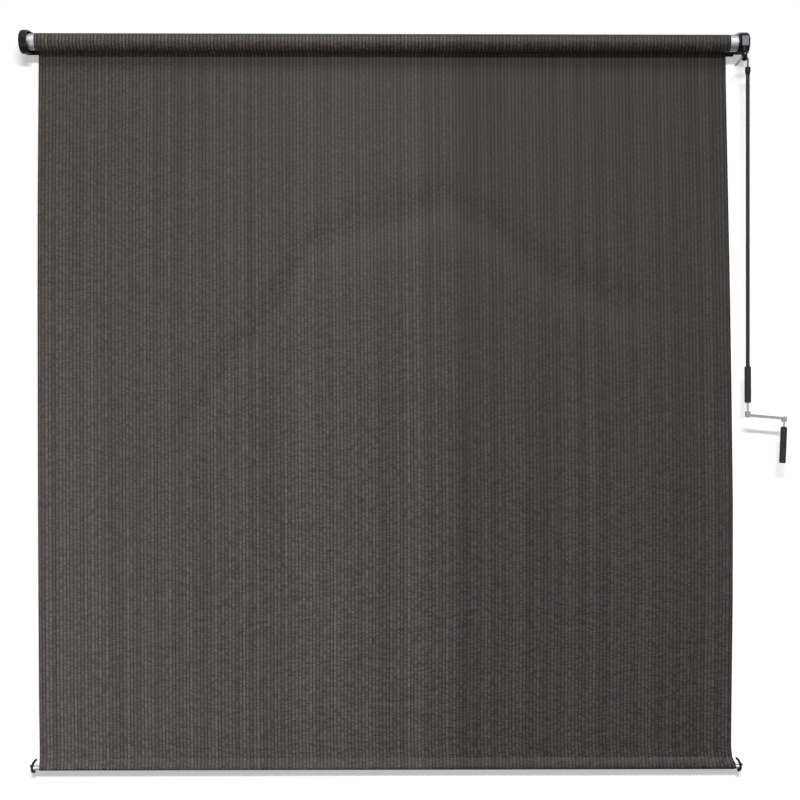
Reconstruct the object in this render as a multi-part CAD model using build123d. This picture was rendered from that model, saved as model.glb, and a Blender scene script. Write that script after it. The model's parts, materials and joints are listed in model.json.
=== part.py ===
import os
from math import atan, cos, degrees, pi, radians, sin, tan

from build123d import *

# A crank-wound outdoor roller shade: ribbed knitted shade cloth on an aluminium tube between two moulded
# wall brackets, a worm drive in the right bracket, a weighted hem, and a hinged crank hooked into the
# drive's eye.
# Millimetres. X runs to the right along the roller, Y towards the wall, Z up.
# The origin is on the wall plane, midway between the four wall screws, at the height of the roller's axis.

# Clearances
press_gap = 0.02
running_gap = 0.05
side_gap = 0.15
free_gap = 0.3
overrun = 2.0

# Roller tube, an aluminium extrusion with a spline groove
wall_to_axis = 52.0
tube_diameter = 42.0
tube_wall = 1.5
bare_tube = 13.1
groove_radius = 2.2
groove_lip = 0.8
groove_wall = 1.2
groove_mouth = 1.8

# Shade cloth
fabric_width = 1828.8
fabric_thickness = 0.75
roll_wraps = 2
roll_inset = 5.6
rib_pitch = 9.25
rib_width = 6.0
rib_crest = 3.0
rib_height = 0.35
layer_gap = 0.1
edge_shares = (0.0, 0.22, 0.5, 0.78, 0.985, 1.0)
left_edge_drifts = (3.8, 1.9, 1.9, 3.4, 6.7, 7.0)
right_edge_drifts = (-8.7, -2.0, 7.3, 10.1, 5.6, 9.0)

# Hem pocket, its bar and the cleats on the bar's ends
seam_drop = 1880.0
hem_height = 32.5
hem_spare = 4.9
hem_drift = 11.7
seam_thickness = 2.4
bar_diameter = 12.0
bar_wall = 1.2
bar_stub = 11.2
bar_drift = 10.2
cleat_radius = 27.7
cleat_stroke = 6.0
cleat_upper_angle = 50.0
cleat_lower_angle = 10.0
cleat_foot_radius = 6.0
cleat_foot_turn = 75.0
cleat_breadth = 9.0
cleat_round = 1.2
cleat_collar = 1.2
cleat_spigot = 22.0
cleat_boss_radius = 3.0
cleat_boss_height = 2.4
cleat_boss_rise = 5.0

# Left bracket, and the idler that the tube turns on
left_nose_radius = 31.0
wall_foot = 15.0
wall_head = 37.0
bracket_depth = 17.6
cup_reach = 4.0
bracket_skin = 3.0
bracket_gap = 0.8
bracket_round = 7.0
flange_foot = 21.0
flange_reach = 42.5
flange_thickness = 3.2
flange_round = 4.0
wall_screw_inset = 22.5
wall_screw_rise = 26.0
wall_screw_hole = 5.5
idler_boss_radius = 13.0
idler_bush_radius = 9.0
idler_bush_length = 11.0
idler_pin_radius = 5.0
idler_pin_length = 44.0
idler_pin_tip_gap = 1.0
plug_length = 34.0
plug_flange = 2.0
plug_flange_step = 0.6

# Right bracket and drive case
drive_spare = 2.0
cheek_radius = 25.5
cheek_thickness = 3.0
cheek_gap = 1.0
lid_thickness = 1.8
case_side = 1.85
case_wall = 3.5
case_cap = 1.7
case_round = 2.0
drum_margin = 1.3
worm_wall = 3.0
neck_radius = 7.5
neck_drop = 16.0
neck_taper = 1.5
neck_spigot_radius = 5.6
neck_spigot = 2.4
cover_nose_radius = 28.5
cover_skin = 3.5
cover_round = 6.0
cover_end_gap = 2.0
cover_window_gap = 0.3
cover_notch_width = 2.2
cover_notch_height = 4.0
case_screw_wall = 1.8
case_screw_angles = (75.0, -75.0, 0.0)
case_screw_radius = 1.5
case_screw_head_radius = 2.9
case_screw_head = 1.8
drive_bush_radius = 11.0
hub_radius = 8.0
hub_gap = 1.2
stub_radius = 5.0
square_drive = 8.0
drive_shaft_length = 48.0
drive_plug_inset = 0.5

# Worm drive: a two-start worm turning a fourteen-tooth wheel
axial_module = 2.0
worm_starts = 2
wheel_teeth = 14
worm_pitch_radius = 6.0
tooth_addendum = 1.4
tooth_dedendum = 1.75
tooth_backlash = 0.3
pressure_angle = 20.0
wheel_width = 9.0
worm_length = 18.4
worm_room = 0.5
journal_radius = 3.0
journal_length = 1.6
worm_shaft_radius = 4.0
worm_phase = 90.0
worm_slices = 36
wheel_slices = 3

# Eye under the drive
eye_gap = 0.4
eye_collar_radius = 6.5
eye_socket = 4.0
eye_hole_drop = 9.0
eye_hole_radius = 4.5
eye_bar_height = 7.6
eye_breadth = 10.6
eye_hole_chamfer = 3.6
eye_rim_chamfer = 2.0
eye_pin_radius = 1.2

# Crank wand
hook_radius = 2.6
hook_bight = 9.0
hook_splay = 40.0
hook_free_leg = 26.0
hook_tail = 24.0
hook_tip_share = 1 / 3
ferrule_top_drop = 66.0
ferrule_length = 21.0
ferrule_radius = 7.3
ferrule_neck_radius = 5.6
ferrule_round = 2.0
ferrule_seat = 9.0
wand_diameter = 10.0
wand_wall = 0.8
wand_bead = 0.7
wand_bead_height = 1.2
grip_top_drop = 849.0
grip_diameter = 17.0
grip_length = 94.0
grip_chamfer = 1.6
grip_end_gap = 0.2

# Folding crank
knuckle_rod = 22.8
knuckle_radius = 6.0
knuckle_breadth = 12.0
knuckle_reach = 10.0
knuckle_stem = 25.0
knuckle_flange = 2.0
knuckle_flange_radius = 6.4
crank_rod_radius = 2.6
arm_length = 96.0
arm_height = 8.0
arm_thickness = 5.0
arm_drop = 5.0
rivet_radius = 2.0
rivet_head_radius = 3.4
rivet_head = 1.2
handle_lean = 2.5
handle_grip_drop = 21.6
handle_grip_length = 95.0
handle_tip_inset = 1.0
handle_collar = 1.0
handle_collar_radius = 3.9
retainer_radius = 5.0
retainer_thickness = 1.6
retainer_recess = 4.5

# Places worked out from the sizes above
axis_y = -wall_to_axis
tube_radius = tube_diameter / 2
tube_bore = tube_radius - tube_wall
tube_length = fabric_width + 2 * bare_tube
tube_end = tube_length / 2
drive_end = tube_end + drive_spare
groove_reach = tube_radius - groove_lip - groove_radius
roll_radius = tube_radius + (roll_wraps + 1) * fabric_thickness
roll_width = fabric_width - 2 * roll_inset
sheet_front_y = axis_y + roll_radius + free_gap
sheet_back_y = sheet_front_y + fabric_thickness
sheet_y = (sheet_front_y + sheet_back_y) / 2
hem_width = fabric_width + 2 * hem_spare
hem_left_x = hem_drift - hem_width / 2
bar_length = hem_width + 2 * bar_stub
bar_radius = bar_diameter / 2
pocket_bore = bar_radius + free_gap
pocket_radius = pocket_bore + fabric_thickness
bar_z = -seam_drop - hem_height + pocket_radius
wheel_pitch_radius = axial_module * wheel_teeth / 2
worm_tip_radius = worm_pitch_radius + tooth_addendum
wheel_tip_radius = wheel_pitch_radius + tooth_addendum
worm_bore = worm_tip_radius + worm_room
wheel_bore = wheel_tip_radius + worm_room
left_bracket_x = -tube_end - plug_flange - bracket_gap
flange_inner_x = tube_end - flange_reach
wall_screw_x = tube_end - wall_screw_inset
cheek_x = drive_end + cheek_gap
lid_x = cheek_x + cheek_thickness
case_x = lid_x + lid_thickness
case_depth = free_gap / 2 + 2 * worm_bore + case_side
case_half_height = worm_length / 2 + worm_room + journal_length + case_cap
case_end_x = case_x + case_depth
cover_end_x = case_end_x + cover_end_gap + cover_skin
case_screw_circle = wheel_bore + case_screw_wall + case_screw_radius
drum_radius = case_screw_circle + case_screw_radius + drum_margin
worm_x = case_x + free_gap / 2 + worm_bore
worm_y = axis_y - worm_pitch_radius - wheel_pitch_radius
case_front_y = worm_y - worm_bore - worm_wall
worm_lead = pi * axial_module * worm_starts
lead_angle = degrees(atan(worm_lead / (2 * pi * worm_pitch_radius)))
neck_z = -case_half_height - neck_drop
eye_top_z = neck_z - eye_gap
eye_pin_z = eye_top_z - eye_socket / 2
eye_hole_z = eye_top_z - eye_hole_drop
eye_bar_top_z = eye_hole_z - eye_hole_radius
hook_z = eye_bar_top_z + free_gap - (hook_bight - hook_radius)
wand_x = worm_x + hook_bight
wand_radius = wand_diameter / 2
wand_bore = wand_radius - wand_wall
wand_top_z = -ferrule_top_drop - ferrule_length + ferrule_seat
grip_bottom_z = -grip_top_drop - grip_length
wand_end_z = grip_bottom_z - grip_end_gap
knuckle_z = wand_end_z - knuckle_rod - knuckle_reach
grip_radius = grip_diameter / 2
arm_end_x = wand_x + arm_length * cos(radians(arm_drop))
arm_end_z = knuckle_z - arm_length * sin(radians(arm_drop))


def along_x(section, start, length):
    """A section drawn in Y and Z, pushed along X from start."""
    return extrude(Plane.YZ.offset(start) * section, amount=length)


def across_y(outline, middle, thickness):
    """An outline drawn in X and Z, thickened both ways about a middle plane."""
    return extrude(Plane.XZ.offset(-middle) * outline, amount=thickness / 2, both=True)


def rod_x(radius, start, length, y=axis_y, z=0):
    return along_x(Pos(y, z) * Circle(radius), start, length)


def rod_z(radius, top, length, x=wand_x, y=worm_y):
    return Pos(x, y, top - length) * extrude(Circle(radius), amount=length)


def rod_y(radius, x, z, length, middle=worm_y):
    return across_y(Pos(x, z) * Circle(radius), middle, length)


def block(x_range, y_range, z_range):
    """A box from its lowest and highest X, Y and Z."""
    low, high = zip(x_range, y_range, z_range)
    size = [b - a for a, b in zip(low, high)]
    return Pos(*low) * Box(*size, align=(Align.MIN, Align.MIN, Align.MIN))


# Roller: tube, cloth wound on it, and what turns with them
def roller_tube():
    """A drawn tube whose wall dips into a round groove that takes the cloth's spline."""
    groove = Pos(groove_reach, 0)
    section = Circle(tube_radius) - Circle(tube_bore)
    section += (groove * Circle(groove_radius + groove_wall)) & Circle(tube_radius)
    section -= groove * Circle(groove_radius)
    mouth = Rectangle(groove_radius + groove_lip + overrun, groove_mouth, align=(Align.MIN, Align.CENTER))
    section -= groove * mouth
    return along_x(Pos(axis_y, 0) * section, -tube_end, tube_end + drive_end)


def fabric_spline():
    return rod_x(groove_radius - free_gap, -roll_width / 2, roll_width, axis_y + groove_reach)


def wound_edge(start_radius):
    """One edge of a wound strip, in half turns that each grow by half a thickness."""
    arcs = []
    for k in range(2 * roll_wraps):
        near = start_radius + k * fabric_thickness / 2
        far = near + fabric_thickness / 2
        side = 1 if k % 2 == 0 else -1
        middle = (side * (near - far) / 2, -side * (near + far) / 2)
        arcs.append(ThreePointArc((side * near, 0), middle, (-side * far, 0)))
    return arcs


def fabric_roll():
    """The turns left on the tube when the shade is down: one wound strip that ends at the roll's back."""
    inner_start = tube_radius + press_gap
    inside = wound_edge(inner_start)
    outside = wound_edge(inner_start + fabric_thickness - layer_gap)
    first = Line(inside[0] @ 0, outside[0] @ 0)
    last = Line(inside[-1] @ 1, outside[-1] @ 1)
    strip = make_face(Curve() + [*inside, *outside, first, last])
    return along_x(Pos(axis_y, 0) * strip, -roll_width / 2, roll_width)


def plug_section():
    """A tube plug's round section, with the keyway that clears the groove in the tube wall."""
    keyway = Pos(groove_reach, 0) * Circle(groove_radius + groove_wall + press_gap)
    return Pos(axis_y, 0) * (Circle(tube_bore - press_gap) - keyway)


def idler_plug():
    body = along_x(plug_section(), -tube_end, plug_length)
    body += rod_x(tube_radius - plug_flange_step, -tube_end - plug_flange, plug_flange)
    bore_length = plug_length + plug_flange + 2 * overrun
    return body - rod_x(idler_pin_radius + press_gap, -tube_end - plug_flange - overrun, bore_length)


def idler_pin():
    tip_x = left_bracket_x - idler_bush_length + idler_pin_tip_gap
    pin = rod_x(idler_pin_radius, tip_x, idler_pin_length)
    return chamfer(pin.edges().sort_by(Axis.X)[0], idler_pin_tip_gap)


def square_hole(start, length):
    side = square_drive + 2 * press_gap
    return along_x(Pos(axis_y, 0) * Rectangle(side, side), start, length)


def drive_plug():
    end = drive_end - drive_plug_inset
    body = along_x(plug_section(), end - plug_length, plug_length)
    return body - square_hole(end - plug_length - overrun, plug_length + 2 * overrun)


def drive_shaft():
    end = worm_x + wheel_width / 2 - press_gap
    section = Pos(axis_y, 0) * Rectangle(square_drive, square_drive)
    return along_x(section, end - drive_shaft_length, drive_shaft_length)


def toothed_points(root, tip, root_half_angle, tip_half_angle, count):
    """The corners of equal straight-sided teeth round a centre, in order."""
    points = []
    for k in range(count):
        middle = 2 * pi * k / count
        corners = (
            (root, -root_half_angle),
            (tip, -tip_half_angle),
            (tip, tip_half_angle),
            (root, root_half_angle),
        )
        for radius, angle in corners:
            points.append((radius * cos(middle + angle), radius * sin(middle + angle)))
    return points


def tooth_half_widths():
    """Half a tooth's width at its root and at its tip, measured along the pitch line."""
    half = (pi * axial_module / 2 - tooth_backlash) / 2
    slope = tan(radians(pressure_angle))
    return half + tooth_dedendum * slope, half - tooth_addendum * slope


def twisted_bar(corners, length, turn, slices):
    """A bar of the given section, turned evenly about its middle along its length, in flat facets."""
    rings = []
    for k in range(slices + 1):
        share = k / slices
        place = Pos(0, 0, (share - 1 / 2) * length) * Rot(0, 0, (share - 1 / 2) * turn)
        rings.append([(place * Pos(x, y)).position for x, y in corners])
    facets = [Face(Wire.make_polygon(ring)) for ring in (rings[0], rings[-1])]
    for low, high in zip(rings, rings[1:]):
        for k, point in enumerate(low):
            across = low[k - 1]
            facets.append(Face(Wire.make_polygon([across, point, high[k]])))
            facets.append(Face(Wire.make_polygon([across, high[k], high[k - 1]])))
    return Solid(Shell(facets))


def worm_wheel():
    """A helical wheel with a hub that runs in the cheek's bush and a stub that runs in the case."""
    root_half, tip_half = tooth_half_widths()
    corners = toothed_points(
        wheel_pitch_radius - tooth_dedendum,
        wheel_tip_radius,
        root_half / wheel_pitch_radius,
        tip_half / wheel_pitch_radius,
        wheel_teeth,
    )
    twist = degrees(wheel_width * tan(radians(lead_angle)) / wheel_pitch_radius)
    teeth = twisted_bar(corners, wheel_width, twist, wheel_slices)
    wheel = Pos(worm_x, axis_y, 0) * Rot(0, 90, 0) * teeth
    left = worm_x - wheel_width / 2
    hub_x = drive_end + hub_gap
    wheel += rod_x(hub_radius, hub_x, left - hub_x)
    stub_end = case_end_x - case_wall / 2
    wheel += rod_x(stub_radius, worm_x + wheel_width / 2, stub_end - worm_x - wheel_width / 2)
    return wheel - square_hole(hub_x - overrun, worm_x + wheel_width / 2 - hub_x + overrun)


# Brackets and drive case
def bracket_outline(nose_radius, skin=0):
    """Side view of a bracket, or of its hollow: a round nose about the roller's axis and a wall side."""
    nose = Pos(axis_y, 0) * Circle(nose_radius - skin)
    foot = Line((-skin, skin - wall_foot), (-skin, wall_head - skin))
    return make_hull(nose.edges() + foot.edges())


def wall_flange(outer_x, side):
    """The plate turned in behind the roller, with its two wall screws' holes."""
    width = outer_x - flange_inner_x
    height = wall_head + flange_foot
    plate = RectangleRounded(width, height, flange_round)
    middle = Pos(side * (outer_x + flange_inner_x) / 2, (wall_head - flange_foot) / 2)
    flange = across_y(middle * plate, -flange_thickness / 2, flange_thickness)
    for rise in (-wall_screw_rise / 2, wall_screw_rise / 2):
        flange -= rod_y(wall_screw_hole / 2, side * wall_screw_x, rise, 2 * flange_thickness + overrun, 0)
    return flange


def left_bracket():
    """A moulded cup that hides the tube's end, with a bearing boss inside and a wall flange."""
    outline = bracket_outline(left_nose_radius)
    outer_x = left_bracket_x - bracket_depth
    cup = along_x(outline, outer_x, bracket_depth + cup_reach)
    rim = cup.faces().sort_by(Axis.X)[0].edges()
    cup = fillet(rim.filter_by(lambda e: e.center().Y < -flange_thickness), bracket_round)
    hollow = bracket_outline(left_nose_radius, bracket_skin)
    cup -= along_x(hollow, outer_x + bracket_skin, bracket_depth + cup_reach)
    cup += rod_x(idler_boss_radius, outer_x + bracket_skin, bracket_depth - bracket_skin)
    cup += wall_flange(-outer_x, -1)
    seat_x = left_bracket_x - idler_bush_length
    return cup - rod_x(idler_bush_radius + press_gap, seat_x, idler_bush_length + overrun)


def idler_bush():
    start = left_bracket_x - idler_bush_length
    body = rod_x(idler_bush_radius, start, idler_bush_length)
    return body - rod_x(idler_pin_radius + running_gap, start - overrun, idler_bush_length + 2 * overrun)


def case_screw_places():
    """Where the case screws stand, as Y and Z."""
    for angle in case_screw_angles:
        turn = radians(angle)
        yield axis_y + case_screw_circle * cos(turn), case_screw_circle * sin(turn)


def bored_for_case_screws(body, radius):
    for y, z in case_screw_places():
        body -= rod_x(radius, cheek_x - overrun, cover_end_x - cheek_x + 2 * overrun, y, z)
    return body


def right_bracket():
    """A flat moulded cheek that carries the drive, with a wall flange like the left one's."""
    cheek = along_x(bracket_outline(cheek_radius), cheek_x, cheek_thickness)
    cheek += wall_flange(cheek_x + cheek_thickness, 1)
    cheek -= rod_x(drive_bush_radius + press_gap, cheek_x - overrun, cheek_thickness + 2 * overrun)
    return bored_for_case_screws(cheek, case_screw_radius + press_gap)


def drive_bush():
    length = cheek_thickness + lid_thickness
    body = rod_x(drive_bush_radius, cheek_x, length)
    return body - rod_x(hub_radius + running_gap, cheek_x - overrun, length + 2 * overrun)


def case_outline():
    """Side view of the drive case: a drum round the wheel and a square nose round the worm."""
    nose_length = axis_y - case_front_y
    nose = Rectangle(nose_length, 2 * case_half_height, align=(Align.MIN, Align.CENTER))
    return Pos(axis_y, 0) * Circle(drum_radius) + Pos(case_front_y, 0) * nose


def gear_case_lid():
    lid = along_x(case_outline(), lid_x, lid_thickness)
    lid -= rod_x(drive_bush_radius + press_gap, lid_x - overrun, lid_thickness + 2 * overrun)
    return bored_for_case_screws(lid, case_screw_radius + running_gap)


def gear_case():
    """The cast case: open on the lid's side, with a floor bored for the bush of the worm's spindle."""
    case = along_x(case_outline(), case_x, case_depth)
    front = case.edges().group_by(Axis.Y)[0]
    case = fillet(front, case_round)
    case -= rod_x(wheel_bore, case_x - overrun, case_depth - case_wall + overrun)
    half = worm_length / 2 + worm_room
    case -= rod_z(worm_bore, half, 2 * half, worm_x)
    case -= block((case_x - overrun, worm_x), (worm_y - worm_bore, worm_y + worm_bore), (-half, half))
    case -= rod_z(journal_radius + running_gap, half + journal_length, journal_length + overrun, worm_x)
    case -= rod_z(worm_shaft_radius + running_gap, overrun - half, overrun - half - neck_z, worm_x)
    seat = neck_spigot + press_gap
    case -= rod_z(neck_spigot_radius + press_gap, seat - case_half_height, seat + overrun, worm_x)
    stub_seat = case_wall / 2 + free_gap
    case -= rod_x(stub_radius + running_gap, case_end_x - case_wall - overrun, stub_seat + overrun)
    return bored_for_case_screws(case, case_screw_radius + running_gap)


def worm_bush():
    """A moulded bush pressed up into the case's floor and scooped out to fit beside the case's drum."""
    neck = rod_z(neck_radius, -case_half_height, neck_drop, worm_x)
    neck = chamfer(neck.edges().sort_by(Axis.Z)[0], neck_taper)
    neck += rod_z(neck_spigot_radius, neck_spigot - case_half_height, neck_spigot, worm_x)
    neck -= rod_x(drum_radius + press_gap, case_x - overrun, case_depth + 2 * overrun)
    top = neck_spigot - case_half_height + overrun
    return neck - rod_z(worm_shaft_radius + running_gap, top, top - neck_z + overrun, worm_x)


def gear_cover():
    """A black cup over the case, cut open at the front for the case's nose and below for the bush."""
    outline = bracket_outline(cover_nose_radius)
    cover = along_x(outline, lid_x, cover_end_x - lid_x)
    rim = cover.faces().sort_by(Axis.X)[-1].edges()
    cover = fillet(rim.filter_by(lambda e: e.center().Y < -flange_thickness), cover_round)
    hollow = bracket_outline(cover_nose_radius, cover_skin)
    cover -= along_x(hollow, lid_x - overrun, cover_end_x - cover_skin - lid_x + overrun)
    window = case_half_height + cover_window_gap
    inside = cover_end_x - cover_skin
    nose_y = axis_y - cover_nose_radius
    cover -= block((lid_x - overrun, inside), (nose_y - overrun, axis_y), (-window, window))
    slot = neck_radius + cover_window_gap
    below = -cover_nose_radius - overrun
    cover -= rod_z(slot, 0, -below, worm_x)
    cover -= block((lid_x - overrun, worm_x), (worm_y - slot, worm_y + slot), (below, 0))
    notch = cover_notch_height / 2
    notch_x = cover_end_x - cover_notch_width
    notch_depth = (nose_y - overrun, axis_y - cover_nose_radius / 2)
    cover -= block((notch_x, cover_end_x + overrun), notch_depth, (-notch, notch))
    return bored_for_case_screws(cover, case_screw_radius + running_gap)


def case_screws():
    """Three pan-head screws through cover, case and lid into the cheek."""
    screws = []
    for y, z in case_screw_places():
        shank = rod_x(case_screw_radius, cheek_x, cover_end_x - cheek_x, y, z)
        head = rod_x(case_screw_head_radius, cover_end_x, case_screw_head, y, z)
        screws.append(shank + chamfer(head.edges().sort_by(Axis.X)[-1], case_screw_head / 2))
    return Compound(children=[s.solid() for s in screws])


# Worm, eye and the wand that hangs in it
def worm_shaft():
    """A two-start worm cut on its shaft, with a journal above and a long spindle below."""
    root_half, tip_half = tooth_half_widths()
    per_length = 2 * pi / worm_lead
    corners = toothed_points(
        worm_pitch_radius - tooth_dedendum,
        worm_tip_radius,
        root_half * per_length,
        tip_half * per_length,
        worm_starts,
    )
    thread = twisted_bar(corners, worm_length, 360 * worm_length / worm_lead, worm_slices)
    worm = Pos(worm_x, worm_y, 0) * Rot(0, 0, worm_phase) * thread
    top = worm_length / 2
    worm += rod_z(journal_radius, top + journal_length, journal_length, worm_x)
    tip_z = eye_top_z - eye_socket + press_gap
    worm += rod_z(worm_shaft_radius, -top, -top - tip_z, worm_x)
    return worm - rod_y(eye_pin_radius + press_gap, worm_x, eye_pin_z, 4 * worm_shaft_radius)


def crank_eye():
    """A forged eye: a collar pinned on the worm's spindle and a thick ring below it."""
    outer = eye_hole_radius + eye_bar_height
    ring = along_x(Pos(worm_y, eye_hole_z) * Circle(outer), worm_x - eye_breadth / 2, eye_breadth)
    ring = chamfer(ring.edges().filter_by(GeomType.CIRCLE), eye_rim_chamfer)
    collar_z = eye_hole_z + eye_hole_radius
    ring -= block(
        (worm_x - eye_breadth, worm_x + eye_breadth),
        (worm_y - outer - overrun, worm_y + outer + overrun),
        (collar_z, eye_top_z + outer),
    )
    ring += rod_z(eye_collar_radius, eye_top_z, eye_top_z - collar_z, worm_x)
    hole = along_x(Pos(worm_y, eye_hole_z) * Circle(eye_hole_radius), worm_x - outer, 2 * outer)
    mouth = Pos(worm_x, worm_y, eye_hole_z) * Rot(0, 90, 0)
    flare = Pos(0, 0, eye_breadth / 2 - eye_hole_chamfer) * Cone(
        eye_hole_radius,
        eye_hole_radius + eye_hole_chamfer,
        eye_hole_chamfer,
        align=(Align.CENTER, Align.CENTER, Align.MIN),
    )
    below = block(
        (worm_x - outer, worm_x + outer),
        (worm_y - outer, worm_y + outer),
        (eye_hole_z - outer, collar_z),
    )
    ring -= hole
    for turn in (0, 180):
        ring -= (mouth * Rot(turn, 0, 0) * flare) & below
    ring -= rod_z(worm_shaft_radius + press_gap, eye_top_z + overrun, eye_socket + overrun, worm_x)
    return ring - rod_y(eye_pin_radius + press_gap, worm_x, eye_pin_z, 4 * eye_collar_radius)


def eye_pin():
    return rod_y(eye_pin_radius, worm_x, eye_pin_z, 2 * eye_collar_radius)


def crank_hook():
    """A bent steel rod: tail in the wand, bight over the eye's bar, and a splayed free leg."""
    finish = 180 - hook_splay
    leave = Vector(worm_x, worm_y, hook_z) + Vector(
        hook_bight * cos(radians(finish)), 0, hook_bight * sin(radians(finish))
    )
    tip = leave + Vector(-sin(radians(hook_splay)), 0, -cos(radians(hook_splay))) * hook_free_leg
    start = Vector(wand_x, worm_y, wand_top_z - hook_tail)
    shoulder = Vector(wand_x, worm_y, hook_z)
    crown = Vector(worm_x, worm_y, hook_z) + Vector(
        hook_bight * cos(radians(finish / 2)), 0, hook_bight * sin(radians(finish / 2))
    )
    path = Line(start, shoulder) + ThreePointArc(shoulder, crown, leave) + Line(leave, tip)
    rod = sweep(Pos(start) * Circle(hook_radius), path=path)
    ends = rod.edges().filter_by(GeomType.CIRCLE).sort_by(Axis.X)[0]
    return chamfer(ends, hook_radius * hook_tip_share)


def hook_ferrule():
    """A moulded bulb that joins the hook to the wand tube, tapering down to the tube."""
    middle = ferrule_length / 2
    edge = [
        (hook_radius + press_gap, 0),
        (ferrule_radius - ferrule_round, 0),
        (ferrule_radius, -ferrule_round),
        (ferrule_radius, -middle),
        (ferrule_neck_radius, -ferrule_length),
        (wand_radius + press_gap, -ferrule_length),
        (wand_radius + press_gap, -ferrule_length + ferrule_seat + press_gap),
        (hook_radius + press_gap, -ferrule_length + ferrule_seat + press_gap),
    ]
    profile = make_face(Polyline(*edge, close=True))
    body = revolve(Plane.XZ * profile, Axis.Z)
    return Pos(wand_x, worm_y, -ferrule_top_drop) * body


def wand_tube():
    """A thin tube with a rolled bead that keeps the upper grip down."""
    length = wand_top_z - wand_end_z
    tube = rod_z(wand_radius, wand_top_z, length)
    bead_bottom = -grip_top_drop + free_gap
    bead = rod_z(wand_radius + wand_bead, bead_bottom + wand_bead_height, wand_bead_height)
    return tube + bead - rod_z(wand_bore, wand_top_z + overrun, length + 2 * overrun)


def grip_sleeve(length, bore):
    """A moulded sleeve hanging down from the origin, with eased ends."""
    body = rod_z(grip_radius, 0, length, 0, 0)
    body = chamfer(body.edges().filter_by(GeomType.CIRCLE), grip_chamfer)
    return body - rod_z(bore, overrun, length + 2 * overrun, 0, 0)


def upper_grip():
    return Pos(wand_x, worm_y, -grip_top_drop) * grip_sleeve(grip_length, wand_radius + 2 * running_gap)


def fork():
    """A knuckle about the origin: a round-ended block below a stem, slotted for the arm."""
    half = knuckle_breadth / 2
    body = rod_y(knuckle_radius, 0, 0, knuckle_breadth, 0)
    body += block((-knuckle_radius, knuckle_radius), (-half, half), (0, knuckle_reach))
    room = arm_thickness / 2 + side_gap
    slot = block(
        (-2 * knuckle_radius, 2 * knuckle_radius),
        (-room, room),
        (-2 * knuckle_radius, knuckle_radius),
    )
    return body - slot - rod_y(rivet_radius + press_gap, 0, 0, 2 * knuckle_breadth, 0)


def upper_knuckle():
    """A zinc fork on a steel stem that is pressed into the wand's lower end."""
    fork_z = knuckle_z + knuckle_reach
    stem = rod_z(wand_bore - press_gap, wand_end_z + knuckle_stem, knuckle_stem)
    flange = rod_z(knuckle_flange_radius, wand_end_z, knuckle_flange)
    rod = rod_z(crank_rod_radius, wand_end_z, wand_end_z - fork_z)
    return Pos(wand_x, worm_y, knuckle_z) * fork() + stem + flange + rod


def rivet(x, z):
    """A pin along Y through a knuckle, headed at both ends."""
    body = rod_y(rivet_radius, x, z, knuckle_breadth)
    for side in (-1, 1):
        middle = worm_y + side * (knuckle_breadth + rivet_head) / 2
        body += rod_y(rivet_head_radius, x, z, rivet_head, middle)
    return body


def crank_arm():
    """A flat link with round ends, drilled for its two rivets."""
    link = SlotCenterToCenter(arm_length, arm_height)
    for end in (-arm_length / 2, arm_length / 2):
        link -= Pos(end, 0) * Circle(rivet_radius + running_gap)
    arm = across_y(Pos(arm_length / 2, 0) * link, 0, arm_thickness)
    return Pos(wand_x, worm_y, knuckle_z) * Rot(0, arm_drop, 0) * arm


def at_handle(body):
    """Places a piece of the handle, drawn hanging from its pivot, where the arm carries it."""
    return Pos(arm_end_x, worm_y, arm_end_z) * Rot(0, handle_lean, 0) * body


def lower_knuckle():
    """The handle's fork and spindle in one forging, with a collar above the grip."""
    tip = handle_grip_drop + handle_grip_length - handle_tip_inset
    body = Rot(180, 0, 0) * fork()
    body += rod_z(crank_rod_radius, -knuckle_reach, tip - knuckle_reach, 0, 0)
    collar_z = -handle_grip_drop + free_gap + handle_collar
    body += rod_z(handle_collar_radius, collar_z, handle_collar, 0, 0)
    return at_handle(body)


def lower_grip():
    grip = grip_sleeve(handle_grip_length, crank_rod_radius + 2 * running_gap)
    recess = rod_z(
        retainer_radius + free_gap, -handle_grip_length + retainer_recess, retainer_recess + overrun, 0, 0
    )
    return at_handle(Pos(0, 0, -handle_grip_drop) * (grip - recess))


def grip_retainer():
    """A push-on washer in the grip's lower end."""
    top = -handle_grip_drop - handle_grip_length + retainer_recess - free_gap
    washer = rod_z(retainer_radius, top, retainer_thickness, 0, 0)
    bore = rod_z(crank_rod_radius + press_gap, top + overrun, retainer_thickness + 2 * overrun, 0, 0)
    return at_handle(washer - bore)


# Cloth that hangs, its hem, and the weight in it
def hanging_fabric():
    """The cloth from the roll's back to the hem's seam, ribbed on its front, with edges that wander."""
    half = fabric_width / 2 + max(right_edge_drifts)
    ribs = int(2 * half / rib_pitch)
    first = -ribs * rib_pitch / 2 + (rib_pitch - rib_width) / 2
    ramp = (rib_width - rib_crest) / 2
    valley = sheet_front_y + rib_height
    front = [(-half, valley)]
    for k in range(ribs):
        x = first + k * rib_pitch
        front.append((x, valley))
        front.append((x + ramp, sheet_front_y))
        front.append((x + rib_width - ramp, sheet_front_y))
        front.append((x + rib_width, valley))
    section = front + [(half, valley), (half, sheet_back_y), (-half, sheet_back_y)]
    length = seam_drop - side_gap
    sheet = extrude(make_face(Polyline(*section, close=True)), amount=-length)
    left = [(d - fabric_width / 2, -k * length) for k, d in zip(edge_shares, left_edge_drifts)]
    right = [(d + fabric_width / 2, -k * length) for k, d in zip(edge_shares, right_edge_drifts)]
    outline = Polyline(*left, *reversed(right), close=True)
    return sheet & across_y(make_face(outline), sheet_y, 4 * fabric_thickness)


def pocket_outline(radius, half_seam, seam_z):
    """A teardrop in Y and Z: a round about the bar, drawn up to the seam."""
    seam = Line((sheet_y - half_seam, seam_z), (sheet_y + half_seam, seam_z))
    loop = Pos(sheet_y, bar_z) * Circle(radius)
    return make_hull(loop.edges() + seam.edges())


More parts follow.
